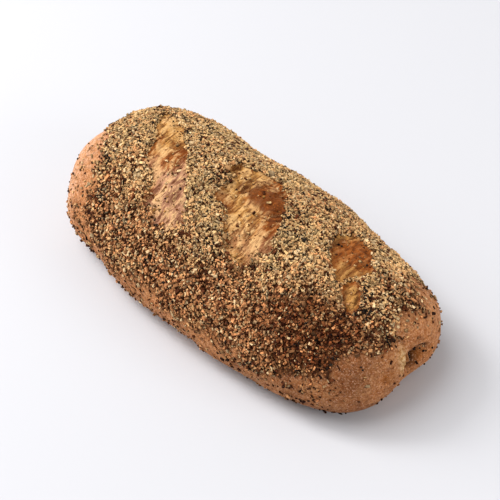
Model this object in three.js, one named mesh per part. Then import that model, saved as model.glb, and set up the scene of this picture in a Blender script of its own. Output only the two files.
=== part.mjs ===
// A seeded bread loaf, shaped by hand and baked on a flat sheet, as one closed solid.
// Millimetres, +Z up. The loaf lies along X on a flat base at z = 0, and the origin
// is the middle of the bounding box's bottom face. Its +X end is a little lower and
// narrower than the other, and shows the tucked-in end of the dough roll.
import * as THREE from 'three';
import { LoftGeometry } from 'three/addons/geometries/LoftGeometry.js';

const LENGTH = 250;
const WIDTH = 130;
const HEIGHT = 76;

// The form before its unevenness. A power of 2 gives an oval, and more a squarer one.
const WIDEST = 0.35 * HEIGHT; // level of the widest outline
const BASE_SHARE = 0.7; // base width, as a share of the full width
const PLAN_POWER = 3.15; // outline from above
const CREST_POWER = 3.2; // side profile above the widest level
const VAULT_POWER = 1.76; // cross-section above the widest level

// Unevenness along the length, as shares of the local size.
const WIDTH_TAPER = 0.028;
const HEIGHT_TAPER = 0.07;
const SKEW = 0.03; // shift along X for each millimetre of Y

// Places where a long side draws in. side is the sign of Y, depth a share of the width.
const WAISTS = [
	{ side: - 1, x: - 75, reach: 27, depth: 0.076 },
	{ side: - 1, x: 70, reach: 35, depth: 0.041 },
	{ side: 1, x: - 44, reach: 24, depth: 0.087 },
	{ side: 1, x: 70, reach: 35, depth: 0.07 },
];

// Three cuts across the crest, torn open into shallow hollows. Ends are in plan.
const SLASHES = [
	{ start: [ - 97, 25 ], end: [ - 19, - 45 ], width: 28, depth: 3 },
	{ start: [ - 24, 26 ], end: [ 38, - 33 ], width: 43, depth: 4 },
	{ start: [ 49, 34 ], end: [ 92, - 14 ], width: 28, depth: 3 },
];
const SLASH_RIM = 0.6; // share of a slash's half-width over which its wall falls

// The end of the dough roll: a pit, and a groove from it down to the base.
const PIT = { y: 6, z: 31, radius: 11, depth: 4.5 };
const GROOVE = { y: 2, halfWidth: 8, depth: 3 };
const END_START = 0.8; // share of the half-length beyond which they reach

const STATIONS = 62; // cross-sections along the loaf
const RING_POINTS = 52; // points round each cross-section
const FINE_STEPS = 90; // points on each fine curve, before even spacing

const halfLength = LENGTH / 2;
const halfWidth = WIDTH / 2;
const endShare = 1 - WIDTH / LENGTH;

// The other coordinate of a unit superellipse.
function superellipse( value, power ) {

	return Math.max( 0, 1 - Math.abs( value ) ** power ) ** ( 1 / power );

}

// Height of the crest above the base, at a station.
function crestHeight( x ) {

	return WIDEST + ( HEIGHT - WIDEST ) * superellipse( x / halfLength, CREST_POWER );

}

// Height of the underside on the centreline: flat, then curving up at the ends.
function undersideHeight( x ) {

	const share = ( Math.abs( x ) / halfLength - endShare ) / ( 1 - endShare );
	const climb = Math.max( 0, ( share - BASE_SHARE ) / ( 1 - BASE_SHARE ) );
	return WIDEST * ( 1 - superellipse( climb, 2 ) );

}

// Half of the width at a station and a height.
function reachSideways( x, z ) {

	let lengthShare;
	let widthShare;

	if ( z < WIDEST ) {

		widthShare = BASE_SHARE + ( 1 - BASE_SHARE ) * superellipse( 1 - z / WIDEST, 2 );
		lengthShare = endShare + ( 1 - endShare ) * widthShare;

	} else {

		const rise = ( z - WIDEST ) / ( HEIGHT - WIDEST );
		widthShare = superellipse( rise, VAULT_POWER );
		lengthShare = superellipse( rise, CREST_POWER );

	}

	if ( lengthShare <= 0 ) return 0;
	const outward = Math.min( 1, Math.abs( x ) / halfLength / lengthShare );
	return halfWidth * widthShare * superellipse( outward, PLAN_POWER );

}

// Stations spaced evenly round the outline, so they crowd together at the blunt ends.
// The first and last sections shrink to one point each, which closes the loaf.
function makeStations() {

	const outline = new THREE.Path();
	const corner = ( i ) => - Math.cos( Math.PI * i / FINE_STEPS );
	const points = Array.from( { length: FINE_STEPS + 1 }, ( _, i ) => new THREE.Vector2(
		halfLength * corner( i ),
		halfWidth * superellipse( corner( i ), PLAN_POWER )
	) );
	outline.setFromPoints( points );
	return outline.getSpacedPoints( STATIONS - 1 ).map( ( point ) => point.x );

}

// One closed cross-section, from the middle of the underside up the +Y wall and round.
function makeSection( x ) {

	const low = undersideHeight( x );
	const high = crestHeight( x );
	const wall = [];

	for ( let i = 0; i <= FINE_STEPS; i ++ ) {

		const z = low + ( high - low ) * ( 1 - Math.cos( Math.PI * i / FINE_STEPS ) ) / 2;
		wall.push( new THREE.Vector2( reachSideways( x, z ), z ) );

	}

	const mirrored = wall.map( ( point ) => new THREE.Vector2( - point.x, point.y ) ).reverse();
	const underside = new THREE.Vector2( 0, low );
	const ring = new THREE.Path();
	ring.setFromPoints( [ underside, ...wall, ...mirrored, underside ] );
	const spaced = ring.getSpacedPoints( RING_POINTS ).slice( 0, RING_POINTS );
	return spaced.map( ( point ) => new THREE.Vector3( x, point.x, point.y ) );

}

// Depth below the crust of the slash hollows, at a point in plan.
function slashDepth( x, y ) {

	let depth = 0;

	for ( const slash of SLASHES ) {

		const start = new THREE.Vector2( ...slash.start );
		const end = new THREE.Vector2( ...slash.end );
		const middle = start.clone().lerp( end, 0.5 );
		const axis = end.clone().sub( start ).normalize();
		const offset = new THREE.Vector2( x, y ).sub( middle );
		const along = offset.dot( axis ) / ( start.distanceTo( end ) / 2 );
		const across = offset.cross( axis ) / ( slash.width / 2 );
		const inward = 1 - Math.hypot( along, across );
		depth += slash.depth * THREE.MathUtils.smoothstep( inward, 0, SLASH_RIM );

	}

	return depth;

}

// Depth of the roll-end pit and its groove, at a point of the +X end.
function endDepth( y, z ) {

	const fromPit = Math.hypot( y - PIT.y, z - PIT.z ) / PIT.radius;
	const fromGroove = Math.abs( y - GROOVE.y ) / GROOVE.halfWidth;
	const pit = PIT.depth * THREE.MathUtils.smoothstep( 1 - fromPit, 0, 1 );
	const groove = GROOVE.depth * THREE.MathUtils.smoothstep( 1 - fromGroove, 0, 1 );
	const faded = groove * THREE.MathUtils.smoothstep( PIT.z - z, 0, PIT.radius );
	return Math.max( pit, faded );

}

// Turn a point of the even form into a point of the baked loaf.
function bake( point ) {

	const along = point.x / halfLength;
	let narrowing = 0;

	for ( const waist of WAISTS ) {

		const near = ( point.x - waist.x ) / waist.reach;
		if ( Math.sign( point.y ) === waist.side ) narrowing += waist.depth * Math.exp( - near * near );

	}

	point.y *= ( 1 - narrowing ) * ( 1 - WIDTH_TAPER * along );
	point.z *= 1 - HEIGHT_TAPER * along;
	point.x += SKEW * point.y;
	if ( point.z > WIDEST ) point.z -= slashDepth( point.x, point.y );
	point.x -= endDepth( point.y, point.z ) * THREE.MathUtils.smoothstep( along, END_START, 1 );

}

const sections = makeStations().map( makeSection );
sections.flat().forEach( bake );
const geometry = new LoftGeometry( sections );

// Centre the loaf over the origin and bring it to its exact size.
geometry.computeBoundingBox();
const size = geometry.boundingBox.getSize( new THREE.Vector3() );
const centre = geometry.boundingBox.getCenter( new THREE.Vector3() );
geometry.translate( - centre.x, - centre.y, 0 );
geometry.scale( LENGTH / size.x, WIDTH / size.y, HEIGHT / size.z );
geometry.computeVertexNormals();

const crust = new THREE.MeshStandardMaterial( { color: 0xb9854f, roughness: 0.8, metalness: 0 } );
const loaf = new THREE.Mesh( geometry, crust );
loaf.name = 'loaf';

const group = new THREE.Group();
group.add( loaf );

export default group;
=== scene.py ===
"""A seeded, hand-shaped bread loaf on a pale studio floor.

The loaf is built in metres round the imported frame: a crust surface with its torn slashes and
tucked-in roll end, and thousands of cracked grains, flakes, crumbs and dark seeds baked onto it.
+X runs along the loaf towards its lower end and +Z is up.
"""

import itertools
import math
from typing import NamedTuple

import bmesh
import bpy
import numpy as np
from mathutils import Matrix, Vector


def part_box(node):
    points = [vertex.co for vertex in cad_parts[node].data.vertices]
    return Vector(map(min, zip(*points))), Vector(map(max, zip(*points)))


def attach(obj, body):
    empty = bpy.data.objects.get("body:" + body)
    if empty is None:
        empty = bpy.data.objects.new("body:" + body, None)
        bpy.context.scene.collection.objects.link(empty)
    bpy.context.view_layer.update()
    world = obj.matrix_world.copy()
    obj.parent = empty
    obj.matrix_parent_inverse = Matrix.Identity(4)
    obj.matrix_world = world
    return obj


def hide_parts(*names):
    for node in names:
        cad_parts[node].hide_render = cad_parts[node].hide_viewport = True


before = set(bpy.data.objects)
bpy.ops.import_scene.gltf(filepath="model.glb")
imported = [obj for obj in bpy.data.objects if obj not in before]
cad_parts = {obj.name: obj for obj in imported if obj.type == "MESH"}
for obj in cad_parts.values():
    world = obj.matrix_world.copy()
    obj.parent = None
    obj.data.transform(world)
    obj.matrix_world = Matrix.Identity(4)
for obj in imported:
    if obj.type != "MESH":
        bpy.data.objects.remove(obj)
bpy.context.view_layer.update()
LOW, HIGH = (np.array(corner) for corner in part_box("loaf"))
LENGTH, WIDTH, HEIGHT = HIGH - LOW
MM = 0.001

# Every draw for the grain comes from here, in the order that the pieces are made.
rng = np.random.default_rng(11)

# The loaf's even form. A power of 2 gives an oval, and more a squarer one.
WIDEST = 0.35 * HEIGHT  # level of the widest outline
BASE_SHARE = 0.7  # base width, as a share of the full width
END_SHARE = 1 - WIDTH / LENGTH  # share of the half-length before the rounded ends
PLAN_POWER = 3.15  # outline from above
CREST_POWER = 3.2  # side profile above the widest level
VAULT_POWER = 1.76  # cross-section above the widest level

# Unevenness along the length, as shares of the local size. SKEW shifts X by a share of Y.
WIDTH_TAPER = 0.028
HEIGHT_TAPER = 0.07
SKEW = 0.03

# Places where a long side draws in: the sign of Y, the place along X, its reach and its depth as a
# share of the width.
WAISTS = (
    (-1, -75 * MM, 27 * MM, 0.076),
    (-1, 70 * MM, 35 * MM, 0.041),
    (1, -44 * MM, 24 * MM, 0.087),
    (1, 70 * MM, 35 * MM, 0.07),
)

STATIONS = 330  # cross-sections along the loaf, with its two tips
RING_POINTS = 296  # points round each cross-section
FINE_STEPS = 400  # points on each fine curve, before even spacing


# ---------------------------------------------------------------- numbers

def smoothstep(value, low, high):
    """0 below low, 1 above high and a smooth climb between them."""
    t = np.clip((value - low) / (high - low), 0, 1)
    return t * t * (3 - 2 * t)


def bell(value, width):
    """1 at 0, falling away smoothly on both sides over about width."""
    return np.exp(-((value / width) ** 2))


class Noise:
    """Smooth random values from about -1 to 1, on a repeating lattice of random numbers."""

    CELLS = 64
    GAIN = 1.6  # brings the blended values back to about -1 to 1

    def __init__(self, seed):
        self.lattice = np.random.default_rng(seed).uniform(-1, 1, (self.CELLS,) * 3)

    def __call__(self, points, size, octaves=1):
        """Values that vary over about size metres. size may differ along X, Y and Z."""
        total = np.zeros(len(points))
        weight = 1.0
        scaled = points / np.asarray(size)
        for _ in range(octaves):
            total += weight * self._one(scaled)
            # Not quite twice as fine, and shifted, so that the octaves never line up.
            scaled = scaled * 2.03 + 7.1
            weight *= 0.5
        return total

    def _one(self, scaled):
        """One octave, at points in units of the lattice."""
        low = np.floor(scaled).astype(int)
        t = scaled - low
        t = t * t * (3 - 2 * t)
        total = np.zeros(len(scaled))
        for corner in itertools.product((0, 1), repeat=3):
            cell = (low + corner) % self.CELLS
            share = np.prod(np.where(corner, t, 1 - t), axis=1)
            total += share * self.lattice[cell[:, 0], cell[:, 1], cell[:, 2]]
        return self.GAIN * total


# ---------------------------------------------------------------- the even form

def superellipse(value, power):
    """The other coordinate of a unit superellipse."""
    return np.clip(1 - np.abs(value) ** power, 0, None) ** (1 / power)


def spaced(points, count, closed=False):
    """count points spaced evenly along a line of points."""
    steps = np.linalg.norm(np.diff(points, axis=0), axis=1)
    travelled = np.concatenate([[0], np.cumsum(steps)])
    wanted = np.linspace(0, travelled[-1], count, endpoint=not closed)
    return np.stack([np.interp(wanted, travelled, axis) for axis in points.T], axis=1)


def reach_sideways(x, z):
    """Half of the width at a station x and heights z."""
    tucked = BASE_SHARE + (1 - BASE_SHARE) * superellipse(1 - np.minimum(z / WIDEST, 1), 2)
    tucked_length = END_SHARE + (1 - END_SHARE) * tucked
    rise = np.clip((z - WIDEST) / (HEIGHT - WIDEST), 0, 1)
    below = z < WIDEST
    width_share = np.where(below, tucked, superellipse(rise, VAULT_POWER))
    length_share = np.where(below, tucked_length, superellipse(rise, CREST_POWER))
    outward = np.abs(x) / (LENGTH / 2) / np.maximum(length_share, 1e-9)
    return WIDTH / 2 * width_share * superellipse(np.minimum(outward, 1), PLAN_POWER)


def section(x):
    """One closed cross-section, from the middle of the underside up the +Y wall and round."""
    share = abs(x) / (LENGTH / 2)
    climb = max(0, ((share - END_SHARE) / (1 - END_SHARE) - BASE_SHARE) / (1 - BASE_SHARE))
    low = WIDEST * (1 - superellipse(climb, 2))
    high = WIDEST + (HEIGHT - WIDEST) * superellipse(share, CREST_POWER)
    z = low + (high - low) * (1 - np.cos(np.linspace(0, np.pi, FINE_STEPS))) / 2
    wall = np.stack([reach_sideways(x, z), z], axis=1)
    mirrored = (wall * (-1, 1))[::-1]
    middle = np.array([[0, low]])
    ring = spaced(np.concatenate([middle, wall, mirrored, middle]), RING_POINTS, closed=True)
    return np.column_stack([np.full(RING_POINTS, x), ring])


def even_form():
    """The cross-sections between the loaf's two tips, as one array: station, ring point, axis."""
    along = -np.cos(np.linspace(0, np.pi, FINE_STEPS)) * LENGTH / 2
    outline = np.column_stack([along, WIDTH / 2 * superellipse(along / (LENGTH / 2), PLAN_POWER)])
    stations = spaced(outline, STATIONS)[1:-1, 0]
    return np.array([section(x) for x in stations])


def shape_by_hand(points):
    """Taper, skew and draw in the even form, then fit it to the frame's box."""
    x, y, z = points.T.copy()
    along = x / (LENGTH / 2)
    narrowing = np.zeros(len(x))
    for side, place, reach, depth in WAISTS:
        narrowing += depth * bell(x - place, reach) * (np.sign(y) == side)
    y *= (1 - narrowing) * (1 - WIDTH_TAPER * along)
    z *= 1 - HEIGHT_TAPER * along
    x += SKEW * y
    shaped = np.column_stack([x, y, z])
    low, high = shaped.min(axis=0), shaped.max(axis=0)
    return LOW + (shaped - low) * (HIGH - LOW) / (high - low)


# ---------------------------------------------------------------- slashes and roll end

class Slash:
    """A diagonal cut across the crest that tore open in the oven, in millimetres in plan.

    taper is how much wider it is at its end than in its middle, as a share, and straggle how far
    the grain spreads in over its rim.
    """

    END_POWER = 1.3  # above 1, it blunts the ends

    def __init__(self, start, end, width, taper, depth, straggle, seed):
        self.start = np.array(start) * MM
        self.end = np.array(end) * MM
        self.width = width * MM
        self.taper = taper
        self.depth = depth * MM
        self.straggle = straggle
        self.noise = Noise(seed)

    def place(self, points):
        """Where points lie in the slash.

        along and across run from -1 to 1 between its ends and between its edges. inward is 0 at
        its ragged rim and climbs towards its middle.
        """
        middle = (self.start + self.end) / 2
        axis = (self.end - self.start) / np.linalg.norm(self.end - self.start)
        side = np.array([-axis[1], axis[0]])
        offset = points[:, :2] - middle
        along = offset @ axis / (np.linalg.norm(self.end - self.start) / 2)
        across = offset @ side / (self.width / 2 * (1 + self.taper * np.clip(along, -1, 1)))
        ragged = 0.16 * self.noise(points, 14 * MM) + 0.07 * self.noise(points, 5 * MM)
        inward = 1 - np.hypot(np.abs(along) ** self.END_POWER, across) + ragged
        inward = np.where(points[:, 2] > WIDEST, inward, -1)
        return along, across, inward


# From the -X end to the +X end. The last is a small opening below the third.
SLASHES = (
    Slash((-95, 25), (-17, -47), 28, 0.26, 2.2, 0.20, 21),
    Slash((-24, 26), (38, -33), 43, 0.0, 3.4, 0.14, 22),
    Slash((49, 34), (84, -6), 28, 0.0, 2.2, 0.12, 23),
    Slash((80, 0), (96, -17), 12, -0.1, 1.6, 0.10, 24),
)

# The blister in the middle slash, and the creases that curl round it.
BLISTER_CENTRE = np.array((6, 9)) * MM
BLISTER_RADIUS = 11.5 * MM
BLISTER_STRETCH = (1.25, 0.85)
CREASE_RADII = np.array((9.5, 12.6, 16.2)) * MM

# Places where a slash baked darker: in plan and in millimetres, with their radius and strength.
SCORCHED_SPOTS = (
    ((-64, 3), 3.6, 0.75),
    ((-49, 0), 5.0, 0.95),
    ((64, 3), 4.0, 0.6),
    ((30, 3), 6.0, 0.7),
)

# The fibres of the torn crumb run across the loaf, turned this far about Z.
STREAK_TURN = math.radians(12)

# The tucked-in end of the dough roll, on the +X tip. Places are in Y and Z.
HOLE = np.array((3.6, 31)) * MM
HOLLOW = np.array((10, 30)) * MM
LIP = np.array((-4.6, 38)) * MM
DIMPLE = np.array((7, 18)) * MM
DENT = np.array((-17, 33)) * MM
DENT_REACH = (4 * MM, 5 * MM)
GROOVE_HEIGHTS = np.array((8, 20, 26.5, 32.5, 37.4, 42)) * MM
GROOVE_PLACES = np.array((7, 3, 1.4, -1.6, -1, 0)) * MM

# A patch low on the -Y side, near the +X end, painted darker: partly toasting and partly painted
# shade. Places are in X and Y.
TOASTED_AND_SHADED_CENTRE = np.array((89, -38)) * MM
TOASTED_AND_SHADED_REACH = np.array((36, 20)) * MM

# The bare crust: the height of the bare foot in millimetres, and how much higher it is on each end.
BARE_FOOT = 28
BARE_FOOT_PLUS = 26
BARE_FOOT_MINUS = 38
# The bare cap of the -X end: the direction that it faces in plan, half of the angle that it spans,
# and the cosine of the angle within which it is wholly bare.
BARE_HEADING = math.radians(-157)
BARE_HALF_ANGLE = math.radians(35)
BARE_CORE_COSINE = 0.99

# Unrelated noises: for lumps, for fine relief, for torn crumb and for uneven patches.
coarse = Noise(1)
fine = Noise(2)
tear = Noise(3)
patch = Noise(4)


def streaks(points):
    """Fine ridges that run across the loaf, where the crumb stretched as a slash opened."""
    cosine, sine = math.cos(STREAK_TURN), math.sin(STREAK_TURN)
    over = points[:, 0] * cosine + points[:, 1] * sine + 2.2 * MM * patch(points, 8 * MM)
    along = -points[:, 0] * sine + points[:, 1] * cosine
    turned = np.column_stack([over, along, points[:, 2]])
    return tear(turned, (2.6 * MM, 9 * MM, 9 * MM), 3)


def torn_share(points):
    """1 inside a slash, 0 outside."""
    share = np.zeros(len(points))
    for slash in SLASHES:
        share = np.maximum(share, smoothstep(slash.place(points)[2], -0.02, 0.12))
    return share


def clear_of_grain(points):
    """1 well inside a slash, falling off unevenly through its ragged edge."""
    share = np.zeros(len(points))
    for slash in SLASHES:
        along, across, inward = slash.place(points)
        lower_edge = smoothstep(np.maximum(along, -across), -0.2, 0.7)
        straggle = slash.straggle * (0.35 + 0.65 * lower_edge)
        uneven = 0.5 * straggle * (patch(points, 4 * MM) + patch(points, 9 * MM))
        share = np.maximum(share, smoothstep(inward - straggle + uneven, -straggle, 0.1))
    return share


def heaped_share(points):
    """1 where grains lie in a heap, 0 where a grain lies alone on bare crust or torn crumb."""
    return topping_share(points) * (1 - clear_of_grain(points))


def blister_distance(points):
    """How far points are from the middle of the blister, measured to suit its oval form."""
    return np.linalg.norm((points[:, :2] - BLISTER_CENTRE) / BLISTER_STRETCH, axis=1)


def blister_share(points):
    """1 on the blister, 0 off it."""
    inward = BLISTER_RADIUS + 1.5 * MM * fine(points, 6 * MM) - blister_distance(points)
    return smoothstep(inward, -1 * MM, 2.5 * MM) * (points[:, 2] > WIDEST)


def blister_rings(points):
    """Thin creases that curl round the blister, from 0 to 1."""
    warped = blister_distance(points) + 1.2 * MM * fine(points, 8 * MM)
    creases = sum(bell(warped - radius, 0.75 * MM) for radius in CREASE_RADII)
    return np.clip(creases, 0, 1) * smoothstep(fine(points, 11 * MM), -0.7, 0.2)


def slash_offset(points):
    """How far the torn crumb lies below (-) or above (+) the even crust."""
    offset = np.zeros(len(points))
    for slash in SLASHES:
        _, across, inward = slash.place(points)
        opened = smoothstep(inward, 0, 0.28)
        hollow = 0.35 + 0.65 * smoothstep(-across, -0.45, 0.55)
        offset -= slash.depth * opened * hollow
        # A lip along the rim of the shallow side, then the relief of the torn crumb.
        offset += 0.9 * MM * bell(inward + 0.03, 0.09) * smoothstep(across, -0.1, 0.5)
        offset += 0.5 * MM * opened * streaks(points)
        offset += 0.7 * MM * opened * tear(points, 5.5 * MM, 3)
        offset += 0.4 * MM * opened * fine(points, 2.2 * MM)
    blister = blister_share(points)
    offset -= 1.1 * MM * blister_rings(points) * torn_share(points)
    rim = bell(blister - 0.5, 0.3)
    raised = blister * (1.3 + 0.3 * fine(points, 3 * MM))
    offset += MM * (raised + 0.7 * rim * smoothstep(blister, 0, 0.2))
    return offset


def tip_share(points):
    """1 on the +X tip, 0 away from it."""
    return smoothstep(points[:, 0], 0.38 * LENGTH, 0.46 * LENGTH)


def spot(points, centre, reach):
    """A soft round or oval spot on the +X tip, at a centre in Y and Z."""
    return bell(np.linalg.norm((points[:, 1:] - centre) / reach, axis=1), 1)


def hole_share(points):
    """1 in the deep hole beside the lip. Its -Y wall is steep."""
    wall = smoothstep(points[:, 1] - HOLE[0], -3.4 * MM, -1.6 * MM)
    return tip_share(points) * wall * spot(points, HOLE, (6.0 * MM, 7 * MM))


def fold_share(points):
    """1 along the crease over the hollow, where the dough folds under."""
    apart = np.linalg.norm(points[:, 1:] - HOLLOW, axis=1) + 0.8 * MM * fine(points, 5 * MM)
    over = smoothstep(points[:, 2] - HOLLOW[1], -1 * MM, 3 * MM)
    return tip_share(points) * over * bell(apart - 7.5 * MM, 1.1 * MM)


def groove_share(points):
    """1 along the groove that runs from the lip down to the base."""
    y, z = points[:, 1], points[:, 2]
    middle = np.interp(z, GROOVE_HEIGHTS, GROOVE_PLACES) + 0.8 * MM * fine(points, 7 * MM)
    reach = np.interp(z, (20 * MM, 34 * MM), (4.5 * MM, 2.4 * MM))
    ends = smoothstep(z, 8 * MM, 18 * MM) * smoothstep(-z, -43 * MM, -38 * MM)
    return tip_share(points) * bell(y - middle, reach) * ends


def roll_end_offset(points):
    """The hole, lip, hollow and groove where the dough roll's end is tucked in."""
    # Heights and depths in millimetres.
    lip = 1.7 * spot(points, LIP, (2.6 * MM, 6 * MM)) * (1 + 0.5 * fine(points, 2.5 * MM))
    hollow = 4.4 * spot(points, HOLLOW, (6.5 * MM, 4.5 * MM)) + 2.2 * spot(points, DENT, DENT_REACH)
    dimple = 3.2 * spot(points, DIMPLE, (13 * MM, 11 * MM))
    ripple = 0.9 * fine(points, 5 * MM, 2) * spot(points, HOLLOW, (20 * MM, 14 * MM))
    deep = 9.5 * hole_share(points) + 3.9 * groove_share(points) + 1.8 * fold_share(points)
    return MM * (tip_share(points) * (lip - hollow - dimple + ripple) - deep)


def crust_offset(points):
    """How far the baked surface lies off the even form, along its normal."""
    off_base = smoothstep(points[:, 2], 0.3 * MM, 7 * MM)
    lumps = 0.9 * MM * coarse(points, 33 * MM) + 0.35 * MM * coarse(points, 12 * MM)
    skin = 0.12 * MM * fine(points, 3.5 * MM, 2)
    return off_base * (lumps + skin + slash_offset(points) + roll_end_offset(points))


def topping_share(points):
    """1 where grain covers the crust, 0 where it is bare: round the foot and on both ends."""
    heading = np.arctan2(points[:, 1] / WIDTH, points[:, 0] / LENGTH)
    plus = smoothstep(np.cos(heading), 0.4, 1.03)
    facing = np.cos(heading - BARE_HEADING)
    minus = smoothstep(facing, math.cos(BARE_HALF_ANGLE), BARE_CORE_COSINE)
    edge = (BARE_FOOT + BARE_FOOT_PLUS * plus + BARE_FOOT_MINUS * minus) * MM
    ragged = 4.5 * MM * patch(points, 17 * MM) + 3 * MM * patch(points, 6 * MM)
    return smoothstep(points[:, 2] - edge + ragged, -3 * MM, 8 * MM)


def toasted_and_shaded_share(points, halo=0.0):
    """1 in the middle of the darker patch, which is partly painted shade. A halo widens it and
    softens its edge.
    """
    apart = np.linalg.norm((points[:, :2] - TOASTED_AND_SHADED_CENTRE) / TOASTED_AND_SHADED_REACH, axis=1)
    return smoothstep(1.25 + halo + 0.3 * patch(points, 12 * MM) - apart, 0, 0.9 + halo)


# ---------------------------------------------------------------- mesh building

def make_mesh(name, points, faces, smooth):
    """A mesh object from an array of points and an array of triangles."""
    mesh = bpy.data.meshes.new(name)
    mesh.vertices.add(len(points))
    mesh.vertices.foreach_set("co", points.astype(np.float32).ravel())
    mesh.loops.add(faces.size)
    mesh.loops.foreach_set("vertex_index", faces.astype(np.int32).ravel())
    mesh.polygons.add(len(faces))
    mesh.polygons.foreach_set("loop_start", np.arange(0, faces.size, 3, dtype=np.int32))
    mesh.update(calc_edges=True)
    mesh.polygons.foreach_set("use_smooth", np.full(len(faces), smooth))
    piece = bpy.data.objects.new(name, mesh)
    bpy.context.scene.collection.objects.link(piece)
    return piece


def paint(piece, name, values):
    """Store one number or one colour per vertex, for the material to read."""
    kind = "FLOAT" if values.ndim == 1 else "FLOAT_COLOR"
    attribute = piece.data.attributes.new(name, kind, "POINT")
    if values.ndim == 1:
        attribute.data.foreach_set("value", values.astype(np.float32))
    else:
        opaque = np.column_stack([values, np.ones(len(values))])
        attribute.data.foreach_set("color", opaque.astype(np.float32).ravel())


def set_map(piece, uv):
    """The piece's texture map, one coordinate pair per face corner."""
    layer = piece.data.uv_layers.new(name="OFBake")
    layer.data.foreach_set("uv", uv.astype(np.float32).ravel())


def crust_faces(rings, around):
    """Triangles for the rings and the two tips, and the map coordinates of their corners."""
    # Two triangles for each cell between the rings, then a fan round each tip.
    ring = np.arange(rings - 1)[:, None]
    column = np.arange(around)[None, :]
    following = (column + 1) % around
    a, b = ring * around + column, ring * around + following
    c, d = b + around, a + around
    quads = [np.stack([a, b, d], -1), np.stack([b, c, d], -1)]
    first, last = rings * around, rings * around + 1
    start = np.stack([np.full(around, first), following[0], column[0]], -1)
    top_ring = (rings - 1) * around
    finish = np.stack([np.full(around, last), top_ring + column[0], top_ring + following[0]], -1)
    faces = np.concatenate([quads[0].reshape(-1, 3), quads[1].reshape(-1, 3), start, finish])

    # On the map, u runs along the loaf and v runs round it.
    u0, u1 = (ring + 1) / (rings + 1), (ring + 2) / (rings + 1)
    v0, v1 = column / around, (column + 1) / around
    u0, u1, v0, v1 = np.broadcast_arrays(u0, u1, v0, v1)
    lower = np.stack([u0, v0, u0, v1, u1, v0], -1).reshape(-1, 6)
    upper = np.stack([u0, v1, u1, v1, u1, v0], -1).reshape(-1, 6)
    v0, v1 = v0[0], v1[0]
    edge, far_edge = np.full(around, 1 / (rings + 1)), np.full(around, rings / (rings + 1))
    middle = (v0 + v1) / 2
    zero, one = np.zeros(around), np.ones(around)
    start_map = np.stack([zero, middle, edge, v1, edge, v0], -1)
    finish_map = np.stack([one, middle, far_edge, v0, far_edge, v1], -1)
    return faces, np.concatenate([lower, upper, start_map, finish_map])


def vertex_normals(piece):
    """The piece's normals, one row per vertex."""
    normals = np.empty(len(piece.data.vertices) * 3, np.float32)
    piece.data.vertices.foreach_get("normal", normals)
    return normals.reshape(-1, 3).astype(float)


def make_crust():
    """The loaf's surface, with every hollow and lump that isn't a grain.

    Returns the piece, the even form's points, the baked points and the triangles.
    """
    rings = even_form()
    count, around = rings.shape[:2]
    tips = np.array([[-LENGTH / 2, 0, WIDEST], [LENGTH / 2, 0, WIDEST]])
    points = shape_by_hand(np.concatenate([rings.reshape(-1, 3), tips]))
    faces, uv = crust_faces(count, around)
    piece = make_mesh("crust", points, faces, smooth=True)
    baked = points + vertex_normals(piece) * crust_offset(points)[:, None]
    baked[:, 2] = np.maximum(baked[:, 2], 0)
    piece.data.vertices.foreach_set("co", baked.astype(np.float32).ravel())
    piece.data.update()
    set_map(piece, uv)
    return piece, points, baked, faces


# ---------------------------------------------------------------- grains and seeds

class Scatter:
    """Random places on the crust, chosen by area and by a weight for each triangle."""

    def __init__(self, even, baked, faces, normals):
        self.even, self.baked, self.faces, self.normals = even, baked, faces, normals
        edges = baked[faces[:, 1:]] - baked[faces[:, :1]]
        self.area = np.linalg.norm(np.cross(edges[:, 0], edges[:, 1]), axis=1)
        self.centres = even[faces].mean(axis=1)

    def spots(self, count, weight):
        """count places: on the crust, with its normals there, and the same on the even form."""
        chance = self.area * weight
        chosen = rng.choice(len(self.faces), count, p=chance / chance.sum())
        shares = rng.dirichlet((1, 1, 1), count)[:, :, None]
        corners = self.faces[chosen]
        normal = (self.normals[corners] * shares).sum(axis=1)
        normal /= np.linalg.norm(normal, axis=1)[:, None]
        where, place = ((form[corners] * shares).sum(axis=1) for form in (self.baked, self.even))
        return where, normal, place


def icosphere(subdivisions):
    """The vertices and triangles of a unit icosphere."""
    ball = bmesh.new()
    bmesh.ops.create_icosphere(ball, subdivisions=subdivisions, radius=1)
    points = np.array([vertex.co for vertex in ball.verts])
    faces = np.array([[vertex.index for vertex in face.verts] for face in ball.faces])
    ball.free()
    return points, faces


def chip():
    """The corners and triangles of a cube about as large as a unit ball."""
    points = np.array(list(itertools.product((-0.8, 0.8), repeat=3)))
    squares = ((0, 1, 3, 2), (4, 6, 7, 5), (0, 4, 5, 1), (2, 3, 7, 6), (0, 2, 6, 4), (1, 5, 7, 3))
    faces = [triangle for a, b, c, d in squares for triangle in ((a, b, c), (a, c, d))]
    return points, np.array(faces)


class Grain(NamedTuple):
    """The shape of one kind of grain. Sizes are half-lengths, and shares of the longest one."""

    template: tuple  # its points and triangles
    long: float  # the usual size of its longest side
    spread: float  # how much that size varies
    width: tuple  # lowest and highest share
    thickness: tuple  # lowest and highest share
    jitter: float  # how rough it is
    tilt: float  # how far it may lean off the crust's normal
    root: np.ndarray | float  # share of its tint left where it is sunk in the crust, darkened there as painted shade
    smooth: bool

    def sizes(self, count):
        """Half-lengths of count grains along, across and through."""
        long = rng.lognormal(math.log(self.long), self.spread, count)
        wide = long * rng.uniform(*self.width, count)
        return np.stack([long, wide, long * rng.uniform(*self.thickness, count)], axis=-1)


# What painted shade leaves of a grain's tint at its root, where it is sunk in the crust.
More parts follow.
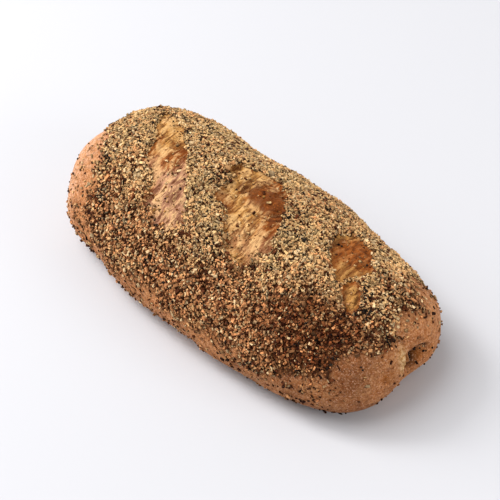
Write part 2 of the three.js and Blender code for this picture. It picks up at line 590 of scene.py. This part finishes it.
GRAIN_ROOT_SHADE = np.array((0.05, 0.018, 0.010))
CHIP = Grain(chip(), 0.87 * MM, 0.25, (0.36, 0.68), (0.38, 0.66), 0.3, 0.5, GRAIN_ROOT_SHADE, False)
FLAKE = Grain(icosphere(1), 1.8 * MM, 0.2, (0.6, 0.9), (0.35, 0.6), 0.2, 0.3, GRAIN_ROOT_SHADE, False)
CRUMB = Grain(chip(), 0.55 * MM, 0.3, (0.4, 0.8), (0.4, 0.7), 0.3, 0.4, GRAIN_ROOT_SHADE, False)
SEED = Grain(icosphere(2), 0.68 * MM, 0.12, (0.7, 0.95), (0.65, 0.85), 0.04, 0.4, 1.0, True)


def random_turns(normal, tilt):
    """A rotation for each grain: on its normal, turned about it at random and tilted a little."""
    count = len(normal)
    up = normal + tilt * rng.normal(size=(count, 3))
    up /= np.linalg.norm(up, axis=1)[:, None]
    side = np.cross(up, rng.normal(size=(count, 3)))
    side /= np.linalg.norm(side, axis=1)[:, None]
    return np.stack([side, np.cross(up, side), up], axis=1)


def grain_map(ball, triangles):
    """A template's texture map in a unit cell: its top in the middle, its sides round that.

    The triangles that face down share a small corner of the cell.
    """
    direction = ball / np.linalg.norm(ball, axis=1)[:, None]
    from_top = np.arccos(np.clip(direction[:, 2], -1, 1)) / np.pi
    heading = np.arctan2(direction[:, 1], direction[:, 0])
    # All but the lowest quarter spreads out over a disc a little narrower than the cell.
    outward = 0.47 * np.sqrt(np.minimum(from_top / 0.75, 1))
    flat = 0.5 + outward[:, None] * np.column_stack([np.cos(heading), np.sin(heading)])
    corners = flat[triangles]
    facing_down = direction[triangles].mean(axis=1)[:, 2] < -0.4
    corners[facing_down] = ((0, 0), (0.08, 0), (0, 0.08))
    return corners


def make_grains(name, kind, where, normal, size, tint):
    """One piece that holds many grains, each a rough, stretched and turned copy of its template."""
    ball, triangles = kind.template
    count = len(where)
    rough = ball[None] + kind.jitter * rng.uniform(-1, 1, (count, len(ball), 3))
    turns = random_turns(normal, kind.tilt)
    turned = np.einsum("gvi,gij->gvj", rough * size[:, None, :], turns)
    points = (turned + where[:, None, :]).reshape(-1, 3)
    faces = (triangles[None] + len(ball) * np.arange(count)[:, None, None]).reshape(-1, 3)
    piece = make_mesh(name, points, faces, kind.smooth)
    # A grain is painted darkest where it is sunk in the crust, as painted shade, and its corners
    # differ a little.
    height = np.einsum("gvi,gi->gv", turned, normal) / size[:, 2:]
    unshaded = smoothstep(height, -0.3, 0.85)[:, :, None]
    uneven = rng.uniform(0.64, 1.36, (count, len(ball), 1))
    colour = (tint[:, None, :] * uneven * (kind.root + (1 - kind.root) * unshaded)).reshape(-1, 3)
    paint(piece, "tint", colour / np.maximum(colour.max(axis=1, keepdims=True), 1))

    across = math.ceil(math.sqrt(count))
    cell = np.stack([np.arange(count) % across, np.arange(count) // across], -1)
    set_map(piece, (cell[:, None, None, :] + grain_map(ball, triangles)[None]) / across)
    return piece


def blend_colours(first, second, share):
    """A colour for each share, from the first at 0 to the second at 1."""
    return first + (second - first) * share[:, None]


# ---------------------------------------------------------------- materials

class Nodes:
    """Short calls that add shader nodes to one material and link them."""

    # The colour sockets of a Mix node, which come after those for numbers and vectors.
    MIX_INPUTS = (6, 7)
    MIX_OUTPUT = 2

    def __init__(self, name):
        self.material = bpy.data.materials.new(name)
        self.material.use_nodes = True
        self.tree = self.material.node_tree
        self.shader = self.tree.nodes["Principled BSDF"]

    def add(self, kind, settings=None, **inputs):
        """A node with its settings made and its inputs linked to outputs or set to values."""
        node = self.tree.nodes.new(kind)
        for key, value in (settings or {}).items():
            setattr(node, key, value)
        for key, value in inputs.items():
            self.put(node.inputs[key.replace("_", " ")], value)
        return node

    def put(self, socket, value):
        """Link an output to the socket, or set the socket to a value."""
        if isinstance(value, bpy.types.NodeSocket):
            self.tree.links.new(value, socket)
        else:
            socket.default_value = value

    def attribute(self, name, output="Fac"):
        """What paint() stored under a name: "Fac" for a number, "Color" for a colour."""
        return self.add("ShaderNodeAttribute", {"attribute_name": name}).outputs[output]

    def noise(self, scale, detail=3.0, roughness=0.55, vector=None):
        """Smooth noise about 0.5, at the place on the piece unless a vector is given."""
        node = self.add("ShaderNodeTexNoise", Scale=scale, Detail=detail, Roughness=roughness)
        self.put(node.inputs["Vector"], vector or self.place())
        return node.outputs["Fac"]

    def place(self):
        """The place on the piece, in its own frame."""
        return self.add("ShaderNodeTexCoord").outputs["Object"]

    def stretched(self, turn, scale):
        """The same place turned about Z and scaled, for a pattern of fibres."""
        back = (0, 0, -turn)
        node = self.add("ShaderNodeMapping", Vector=self.place(), Rotation=back, Scale=scale)
        return node.outputs["Vector"]

    def shifted(self, distance):
        """The same place moved away, for a pattern unlike the others."""
        node = self.add("ShaderNodeVectorMath", {"operation": "ADD"})
        self.put(node.inputs[0], self.place())
        node.inputs[1].default_value = (distance,) * 3
        return node.outputs["Vector"]

    def ramp(self, value, *stops):
        """A value put through (position, level) stops, with an even climb between them."""
        node = self.add("ShaderNodeValToRGB")
        elements = node.color_ramp.elements
        while len(elements) < len(stops):
            elements.new(0.5)
        for element, (position, level) in zip(elements, stops):
            element.position = position
            element.color = (level, level, level, 1)
        self.put(node.inputs["Fac"], value)
        return node.outputs["Color"]

    def mix(self, share, first, second, blend="MIX"):
        """Two colours mixed by a share."""
        node = self.add("ShaderNodeMix", {"data_type": "RGBA", "blend_type": blend})
        self.put(node.inputs[0], share)
        for index, value in zip(self.MIX_INPUTS, (first, second)):
            linked = isinstance(value, bpy.types.NodeSocket)
            self.put(node.inputs[index], value if linked else (*value, 1))
        return node.outputs[self.MIX_OUTPUT]

    def scaled(self, share, factor, plus=0.0):
        """share times factor, plus another share or number, held between 0 and 1."""
        node = self.add("ShaderNodeMath", {"operation": "MULTIPLY_ADD", "use_clamp": True})
        for socket, value in zip(node.inputs, (share, factor, plus)):
            self.put(socket, value)
        return node.outputs[0]

    def finish(self, colour, roughness, bump_height, bump_depth, specular=0.08):
        """Colour, roughness and bump on the shader."""
        self.put(self.shader.inputs["Base Color"], colour)
        self.put(self.shader.inputs["Roughness"], roughness)
        self.shader.inputs["Specular IOR Level"].default_value = specular
        bump = self.add("ShaderNodeBump", Strength=1.0, Distance=bump_depth, Height=bump_height)
        self.put(self.shader.inputs["Normal"], bump.outputs["Normal"])
        return self.material


# Linear colours of the bread.
# Under the grain the crust is painted very dark: partly its own toasting, partly painted shade in
# the gaps between grains.
UNDER_GRAIN_TOAST_AND_SHADE = (0.040, 0.010, 0.003)
UNDER_GRAIN_TOAST_AND_SHADE_PALER = (0.12, 0.036, 0.010)
TOAST_AND_SHADE_BROWN = (0.085, 0.020, 0.005)
BARE_TAN = (0.76, 0.355, 0.145)
BARE_BROWN = (0.42, 0.135, 0.036)
BARE_BROWN_DARK = (0.16, 0.045, 0.014)
ROSY_TAN = (0.88, 0.52, 0.35)
DARK_CRUST = (0.055, 0.016, 0.006)
TORN_GOLD = (0.50, 0.24, 0.062)
TORN_ORANGE = (0.31, 0.082, 0.011)
TORN_PALE = (0.46, 0.225, 0.130)
TORN_STREAK = (0.80, 0.50, 0.22)
TORN_BROWN = (0.105, 0.028, 0.007)
SCORCHED = (0.15, 0.036, 0.005)
LIP_CREAM = (0.85, 0.56, 0.28)
HOLE_SHADE = (0.004, 0.002, 0.001)
ROLL_ORANGE = (0.40, 0.125, 0.020)


def plain_crust(n):
    """Crust outside the slashes: dark under the grain, partly painted shade between the grains, and
    mottled tan where bare, with specks.
    """
    bare_share = n.attribute("bare")
    mottle = n.ramp(n.noise(75, 4), (0.35, 0), (0.68, 1))
    fleck = n.ramp(n.noise(520, 3, 0.6), (0.40, 0), (0.62, 1))
    bare = n.mix(n.scaled(fleck, 0.6, n.scaled(mottle, 0.4)), BARE_BROWN, BARE_TAN)
    bare = n.mix(n.attribute("rosy"), bare, n.mix(fleck, BARE_TAN, ROSY_TAN))
    crust = n.mix(mottle, UNDER_GRAIN_TOAST_AND_SHADE, UNDER_GRAIN_TOAST_AND_SHADE_PALER)
    crust = n.mix(bare_share, crust, bare)
    # Toasting, with painted shade in the patch low on the -Y side.
    crust = n.mix(n.attribute("toasted_and_shaded"), crust, TOAST_AND_SHADE_BROWN)
    crust = n.mix(n.attribute("orange"), crust, ROLL_ORANGE)
    crust = n.mix(n.attribute("cream"), crust, n.mix(fleck, TORN_GOLD, LIP_CREAM))
    # Painted shade in the hole, the groove and the fold.
    crust = n.mix(n.attribute("hole"), crust, HOLE_SHADE)

    freckle = n.ramp(n.noise(420, 3, 0.7), (0.56, 0), (0.68, 1))
    crust = n.mix(n.scaled(freckle, 0.6), crust, DARK_CRUST)
    speck = n.noise(950, 3, 0.7, n.shifted(2.1))
    dark_speck = n.ramp(speck, (0.36, 1), (0.47, 0))
    crust = n.mix(n.scaled(dark_speck, 0.4), crust, BARE_BROWN_DARK)
    pale_speck = n.ramp(speck, (0.55, 0), (0.66, 1))
    crust = n.mix(n.scaled(pale_speck, n.scaled(bare_share, 0.5)), crust, ROSY_TAN)
    blotch = n.ramp(n.noise(190, 4, 0.6, n.shifted(5.3)), (0.52, 0), (0.66, 1))
    return n.mix(n.scaled(blotch, 0.35), crust, TOAST_AND_SHADE_BROWN)


def torn_crumb(n, fibre):
    """Crumb inside the slashes: streaked with light and dark fibres, scorched in places, and
    darkened by painted shade on the shaded walls and along the creases.
    """
    fibrous = n.attribute("fibrous")
    streak = n.attribute("streak")
    torn = n.mix(n.attribute("gold"), TORN_ORANGE, TORN_GOLD)
    torn = n.mix(n.attribute("pale"), torn, TORN_PALE)
    light_streak = n.ramp(streak, (0.5, 0), (0.9, 1))
    torn = n.mix(n.scaled(light_streak, n.scaled(fibrous, 0.5)), torn, TORN_STREAK)
    dark_streak = n.ramp(streak, (0.1, 1), (0.45, 0))
    torn = n.mix(n.scaled(dark_streak, 0.6), torn, TORN_BROWN)
    light_fibre = n.ramp(fibre, (0.52, 0), (0.66, 1))
    torn = n.mix(n.scaled(light_fibre, n.scaled(fibrous, 0.7)), torn, TORN_STREAK)
    dark_fibre = n.ramp(fibre, (0.36, 1), (0.48, 0))
    torn = n.mix(n.scaled(dark_fibre, 0.85), torn, TORN_BROWN)

    crumb = n.ramp(n.noise(420, 5, 0.75), (0.53, 0), (0.62, 1))
    torn = n.mix(n.scaled(crumb, 0.8), torn, TORN_BROWN)
    scorched = n.mix(n.scaled(crumb, 0.9), SCORCHED, TORN_ORANGE)
    uncovered = n.ramp(fibre, (0.44, 1.0), (0.62, 0.35))
    # Scorching, and painted shade on the -across wall of the middle slash.
    torn = n.mix(n.scaled(n.attribute("scorch_and_shade"), uncovered), torn, scorched)
    torn = n.mix(n.attribute("blister"), torn, scorched)
    # Painted shade along the creases round the blister.
    return n.mix(n.attribute("crease"), torn, TORN_BROWN)


def crust_material():
    """Crust and torn crumb, with a fine bump on both. The blister is the smoothest part."""
    n = Nodes("baked_crust")
    torn = n.attribute("torn")
    fibre = n.noise(1.0, 4, 0.65, n.stretched(STREAK_TURN, (620, 130, 200)))
    colour = n.mix(torn, plain_crust(n), torn_crumb(n, fibre))
    bump = n.mix(torn, n.noise(900, 4, 0.65), n.mix(0.4, fibre, n.noise(650, 4, 0.7)))
    roughness = n.ramp(n.attribute("blister"), (0.0, 0.62), (1.0, 0.34))
    return n.finish(colour, roughness, bump, 0.0015)


def grain_material(name, roughness, bump_scale, bump_depth, shade, specular):
    """Grain or seed in its own tint, which falls to a shade of itself in places."""
    n = Nodes(name)
    speckle = n.ramp(n.noise(bump_scale, 2), (0.3, shade), (0.7, 1.0))
    colour = n.mix(1.0, n.attribute("tint", "Color"), speckle, "MULTIPLY")
    return n.finish(colour, roughness, n.noise(bump_scale * 1.7, 3), bump_depth, specular)


# ---------------------------------------------------------------- the loaf

def torn_colours(points):
    """How gold, pale, fibrous and scorched the crumb is inside the slashes, with painted shade on
    their -across walls.
    """
    gold = np.zeros(len(points))
    pale = np.zeros(len(points))
    fibrous = np.ones(len(points))
    scorch_and_shade = np.zeros(len(points))
    wander = 0.35 * patch(points, 11 * MM)
    for index, slash in enumerate(SLASHES):
        along, across, inward = slash.place(points)
        inside = smoothstep(inward, 0, 0.12)
        if index == 0:  # gold at its start and pale at its end, with a scorched band between
            gold += inside * smoothstep(-along + wander, 0.05, 0.5)
            pale += inside * smoothstep(along + wander, -0.1, 0.35)
            scorch_and_shade += inside * bell(along + 0.17, 0.09) * smoothstep(across, 0.3, 0.7)
        elif index == 1:  # gold, with a pale end, a scorched far side and painted shade on its -across side
            gold += inside * smoothstep(0.35 - across + wander, 0, 0.6)
            pale += 0.55 * inside * smoothstep(along + wander, 0.2, 0.8)
            far_side = smoothstep(across + 0.6 * wander, 0.15, 0.6) * smoothstep(along, -0.6, -0.1)
            scorch_and_shade += 0.45 * inside * far_side
            # Painted shade on its -across wall, mixed in as scorching.
            scorch_and_shade += 0.5 * inside * smoothstep(-across + 0.8 * wander, 0.55, 0.85)
        elif index == 2:  # orange, with gold ends
            gold += inside * smoothstep(np.abs(along) - 0.4 * across + wander, 0.35, 0.8)
            scorch_and_shade += 0.3 * inside * smoothstep(wander, 0.0, 0.3)
        else:  # the small one below it: gold in its middle
            gold += inside * smoothstep(inward, 0.25, 0.55)
        if index >= 2:
            fibrous -= 0.75 * inside
        # Painted shade on the -across wall of each slash: it keeps less gold.
        shaded = smoothstep(-across + 0.5 * wander, 0.45, 0.85) * inside
        gold *= 1 - 0.7 * shaded
    for centre, radius, strength in SCORCHED_SPOTS:
        apart = np.linalg.norm(points[:, :2] / MM - centre, axis=1) + 1.5 * fine(points, 4 * MM)
        scorch_and_shade += strength * smoothstep(radius - apart, -1.5, 1.5)
    return {"gold": gold, "pale": pale, "fibrous": fibrous, "scorch_and_shade": scorch_and_shade}


def roll_end_colours(points):
    """How orange and cream the bread is where the dough roll's end is tucked in, and how much
    painted shade darkens its hole, groove and fold.
    """
    tip = tip_share(points)
    groove = groove_share(points)
    orange = tip * (spot(points, HOLLOW, (9 * MM, 9 * MM)) + 0.9 * spot(points, DENT, DENT_REACH))
    return {
        "orange": orange + 0.7 * groove,
        "cream": 1.7 * tip * spot(points, LIP, (3.0 * MM, 7 * MM)),
        # Painted shade, deepest in the hole.
        "hole": 3.2 * hole_share(points) - 0.2 + 0.5 * groove + 1.1 * fold_share(points),
    }


def paint_crust(piece, points):
    """Store the shares, each from 0 to 1, that the crust material reads."""
    foot = smoothstep(30 * MM - points[:, 2], 0, 30 * MM)
    shares = {
        "torn": torn_share(points),
        **torn_colours(points),
        "blister": 0.92 * blister_share(points),
        # Painted shade along the creases round the blister.
        "crease": blister_rings(points),
        "streak": 0.5 + 0.5 * streaks(points),
        "bare": 1 - topping_share(points),
        # A little darker towards the foot, in random places, and in the patch low on the -Y side,
        # which is partly painted shade.
        "toasted_and_shaded": 0.05 * foot + 0.2 * coarse(points, 25 * MM) + 0.65 * toasted_and_shaded_share(points, 0.6),
        "rosy": 0.8 * smoothstep(-points[:, 0], 0.36 * LENGTH, 0.46 * LENGTH),
        **roll_end_colours(points),
    }
    for name, share in shares.items():
        paint(piece, name, np.clip(share, 0, 1))


GRAIN_BRIGHT = np.array((0.98, 0.64, 0.28))
GRAIN_DULL = np.array((0.68, 0.295, 0.115))
GRAIN_BROWN = np.array((0.12, 0.032, 0.009))
GRAIN_CREAM = np.array((1.0, 0.70, 0.37))
GRAIN_TOAST_AND_SHADE = np.array((0.36, 0.23, 0.17))  # what toasting and painted shade leave of a grain's colour in the darker patch
SEED_BLACK = np.array((0.014, 0.010, 0.008))

CHIPS_EACH = 14500
LAYER_PAINTED_SHADING = (0.5, 1.0, 1.22)  # one piece of chips each, from the lowest to the highest: painted shade on the lower layers, painted light on the highest
FLAKES = 110
CRUMBS = 420
SEED_PIECES = 2
SEEDS_EACH = 1200


def thick_and_lit_share(even):
    """1 on the crest and the +Y side, where grain lies thick and pale partly as painted light, 0
    low on the -Y side.
    """
    return smoothstep(even[:, 2] + 0.35 * even[:, 1], 30 * MM, 74 * MM)


def grain_tints(even):
    """Each grain's colour: paler on top and duller low down, partly as painted light and shade,
    with some browned and some cream.
    """
    count = len(even)
    thick_and_lit = thick_and_lit_share(even)
    near_end = smoothstep(even[:, 0], 82 * MM, 108 * MM)
    # Partly painted light and shade: grain is paler on the crest and the +Y side, and duller and
    # more often browned low on the -Y side.
    level = (0.68 - 0.35 * near_end) * thick_and_lit + 0.18 * patch(even, 20 * MM)
    level = level + rng.normal(0, 0.28, count)
    tint = blend_colours(GRAIN_DULL, GRAIN_BRIGHT, np.clip(level, 0, 1))
    odd = rng.random(count)
    browned = odd < 0.26 - 0.16 * thick_and_lit + 0.15 * near_end
    tint[browned] = GRAIN_BROWN
    tint[odd > 0.88 - 0.05 * thick_and_lit] = GRAIN_CREAM
    # Grains in the darker patch take its toasting and its painted shade.
    toasted_and_shaded = np.sqrt(toasted_and_shaded_share(even)) * (rng.random(count) < 0.82)
    tint *= 1 - toasted_and_shaded[:, None] * (1 - GRAIN_TOAST_AND_SHADE)
    clumped = 1 + 0.22 * fine(even, 4.5 * MM)[:, None]
    return tint * clumped * rng.uniform(0.5, 1.25, (count, 1))


def crumb_tints(count):
    """The colours of loose crumbs in the slashes: some pale, some gold and some brown."""
    palette = np.array((TORN_STREAK, TORN_GOLD, TORN_ORANGE, TORN_BROWN))
    chosen = rng.choice(len(palette), count, p=(0.15, 0.35, 0.3, 0.2))
    return palette[chosen] * rng.uniform(0.7, 1.2, (count, 1))


def add_piece(piece, material):
    """Give a piece its material, and place it on the body."""
    piece.data.materials.append(material)
    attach(piece, "root")


def topping_weights(centres):
    """How likely each place is to hold a grain, and to hold a seed."""
    cover = topping_share(centres)
    clear = clear_of_grain(centres)
    off_base = smoothstep(centres[:, 2], 3 * MM, 9 * MM)
    patchy = 0.6 + 0.15 * thick_and_lit_share(centres) + 0.2 * np.clip(patch(centres, 10 * MM), -1, 1)
    long_side = smoothstep(-np.abs(centres[:, 0]), -0.47 * LENGTH, -0.38 * LENGTH)
    sprinkled = 0.05 * smoothstep(centres[:, 2], 6 * MM, 30 * MM) * long_side + 0.006
    grain = np.maximum(cover * patchy, sprinkled) * (1 - 0.995 * clear) * off_base
    clustered = np.clip(fine(centres, 9 * MM, 2) - 0.25, 0, 1) ** 2
    seed = (0.06 + 2.5 * clustered) * off_base * np.clip(cover, 0.03, 1) * (1 - 0.985 * clear)
    return grain, seed


def add_cracked_grain(scatter, weight, material):
    """Layers of chips, each heaped a little higher and painted paler than the one before: painted
    shade on the lower ones, painted light on the highest.
    """
    for index, brightness in enumerate(LAYER_PAINTED_SHADING):
        where, normal, place = scatter.spots(CHIPS_EACH, weight)
        size = CHIP.sizes(CHIPS_EACH)
        heap = (0.15 + 0.3 * np.clip(patch(place, 7 * MM), 0, 1)) * MM * index
        lift = size[:, 2] * rng.uniform(0.1, 0.9, CHIPS_EACH) + heap * heaped_share(place)
        tint = grain_tints(place) * brightness
        lifted = where + normal * lift[:, None]
        piece = make_grains(f"cracked_grain_{index + 1}", CHIP, lifted, normal, size, tint)
        add_piece(piece, material)


def add_flakes(scatter, weight, material):
    """A few larger, rounder flakes among the chips."""
    where, normal, place = scatter.spots(FLAKES, weight)
    size = FLAKE.sizes(FLAKES)
    lifted = where + normal * (0.5 * size[:, 2:])
    piece = make_grains("grain_flakes", FLAKE, lifted, normal, size, grain_tints(place))
    add_piece(piece, material)


def add_crumbs(scatter, material):
    """Small loose crumbs in the slashes, in patches."""
    weight = torn_share(scatter.centres) * (0.25 + np.clip(fine(scatter.centres, 6 * MM), 0, 1))
    where, normal, _ = scatter.spots(CRUMBS, weight)
    size = CRUMB.sizes(CRUMBS)
    piece = make_grains("torn_crumbs", CRUMB, where, normal, size, crumb_tints(CRUMBS))
    add_piece(piece, material)


def add_seeds(scatter, weight, material):
    """Dark seeds in clusters, on top of the grain or sunk in the bare crust."""
    for index in range(SEED_PIECES):
        where, normal, place = scatter.spots(SEEDS_EACH, weight)
        size = SEED.sizes(SEEDS_EACH)
        lift = rng.uniform(0.5, 1.6, SEEDS_EACH) * (0.45 + 0.55 * heaped_share(place))
        lifted = where + normal * (size[:, 2] * lift)[:, None]
        tint = SEED_BLACK * rng.uniform(0.3, 2.2, (SEEDS_EACH, 1))
        piece = make_grains(f"poppy_seeds_{index + 1}", SEED, lifted, normal, size, tint)
        add_piece(piece, material)


def make_loaf():
    """The crust, and the grain, flakes, crumbs and seeds baked onto it."""
    crust, even, baked, faces = make_crust()
    paint_crust(crust, even)
    add_piece(crust, crust_material())
    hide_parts("loaf")

    scatter = Scatter(even, baked, faces, vertex_normals(crust))
    grain_weight, seed_weight = topping_weights(scatter.centres)
    grain = grain_material(
        "toasted_grain", roughness=0.6, bump_scale=900, bump_depth=0.0003, shade=0.6, specular=0.08
    )
    add_cracked_grain(scatter, grain_weight, grain)
    add_flakes(scatter, grain_weight, grain)
    add_crumbs(scatter, grain)
    seed = grain_material(
        "poppy_seed", roughness=0.5, bump_scale=1500, bump_depth=0.0001, shade=0.7, specular=0.03
    )
    add_seeds(scatter, seed_weight, seed)


# ---------------------------------------------------------------- the studio

FLOOR_COLOUR = (0.575, 0.575, 0.60, 1)

# How bright the surroundings are, level with the floor and straight up.
HORIZON_LEVEL = 0.62
ZENITH_LEVEL = 0.51

# A wide sun that shines down and a little towards +X and +Y.
SUN_STRENGTH = 1.75
SUN_ANGLE = math.radians(40)
SUN_DIRECTION = (0.34, 0.27, -0.90)

# Square soft lights: the direction that each stands in, its distance, its side and its power.
LIGHTS = {
    "key": ((-0.55, -0.25, 0.72), 1.3, 0.35, 7.4),
    "low": ((-0.75, -0.38, 0.46), 1.3, 0.5, 4.6),
    "fill": ((0.85, 0.20, 0.38), 1.4, 0.7, 5.6),
}

# The photograph's camera. The azimuth runs from -Y towards +X, and both angles are in degrees. The
# lens and the sensor are in millimetres, as Blender has them.
CAMERA_AZIMUTH = 44.5
CAMERA_ELEVATION = 46.0
CAMERA_DISTANCE = 0.95
FOCAL_LENGTH = 115.8
SENSOR = 36.0
CAMERA_SHIFT = (0.0026, -0.0124)


def make_floor():
    """A pale floor far wider than any view."""
    bpy.ops.mesh.primitive_plane_add(size=40, location=(0, 0, 0))
    floor = bpy.context.object
    floor.name = "floor"
    n = Nodes("pale_floor")
    n.shader.inputs["Base Color"].default_value = FLOOR_COLOUR
    n.shader.inputs["Roughness"].default_value = 0.7
    n.shader.inputs["Specular IOR Level"].default_value = 0.2
    floor.data.materials.append(n.material)


def add_lamp(name, kind, strength):
    """A lamp and the object that holds it."""
    lamp = bpy.data.lights.new(name, kind)
    lamp.energy = strength
    holder = bpy.data.objects.new(name, lamp)
    bpy.context.scene.collection.objects.link(holder)
    return lamp, holder


def turn_towards(direction):
    """The rotation that makes a lamp shine in a direction."""
    return Vector(direction).to_track_quat("-Z", "Y").to_euler()


def add_light(name, direction, distance, size, power):
    """A square soft light that looks at the loaf from a direction."""
    lamp, holder = add_lamp(name, "AREA", power)
    lamp.size = size
    holder.location = Vector(direction).normalized() * distance
    holder.rotation_euler = turn_towards(-holder.location)


def make_world():
    """White surroundings that dim evenly from the horizon to straight up."""
    world = bpy.data.worlds.new("studio")
    world.use_nodes = True
    nodes, links = world.node_tree.nodes, world.node_tree.links
    direction = nodes.new("ShaderNodeTexCoord")
    axes = nodes.new("ShaderNodeSeparateXYZ")
    level = nodes.new("ShaderNodeMapRange")
    level.inputs["To Min"].default_value = HORIZON_LEVEL
    level.inputs["To Max"].default_value = ZENITH_LEVEL
    links.new(direction.outputs["Generated"], axes.inputs["Vector"])
    links.new(axes.outputs["Z"], level.inputs["Value"])
    links.new(level.outputs["Result"], nodes["Background"].inputs["Strength"])
    nodes["Background"].inputs["Color"].default_value = (1.0, 1.0, 1.0, 1)
    bpy.context.scene.world = world


def light_studio():
    """The surroundings, the wide sun overhead and the soft lights."""
    make_world()
    sun, holder = add_lamp("overhead", "SUN", SUN_STRENGTH)
    sun.angle = SUN_ANGLE
    holder.rotation_euler = turn_towards(SUN_DIRECTION)
    for name, placing in LIGHTS.items():
        add_light(name, *placing)
    bpy.context.scene.view_settings.view_transform = "Standard"


def place_camera():
    """The photograph's camera, which looks down on the loaf's middle."""
    turn, climb = math.radians(CAMERA_AZIMUTH), math.radians(CAMERA_ELEVATION)
    level = math.cos(climb)
    back = Vector((math.sin(turn) * level, -math.cos(turn) * level, math.sin(climb)))
    camera = bpy.data.objects.new("camera", bpy.data.cameras.new("camera"))
    bpy.context.scene.collection.objects.link(camera)
    camera.location = Vector((0, 0, HEIGHT / 2)) + back * CAMERA_DISTANCE
    camera.rotation_euler = back.to_track_quat("Z", "Y").to_euler()
    camera.data.lens = FOCAL_LENGTH
    camera.data.sensor_width = SENSOR
    camera.data.shift_x, camera.data.shift_y = CAMERA_SHIFT
    bpy.context.scene.camera = camera


make_loaf()
make_floor()
light_studio()
place_camera()
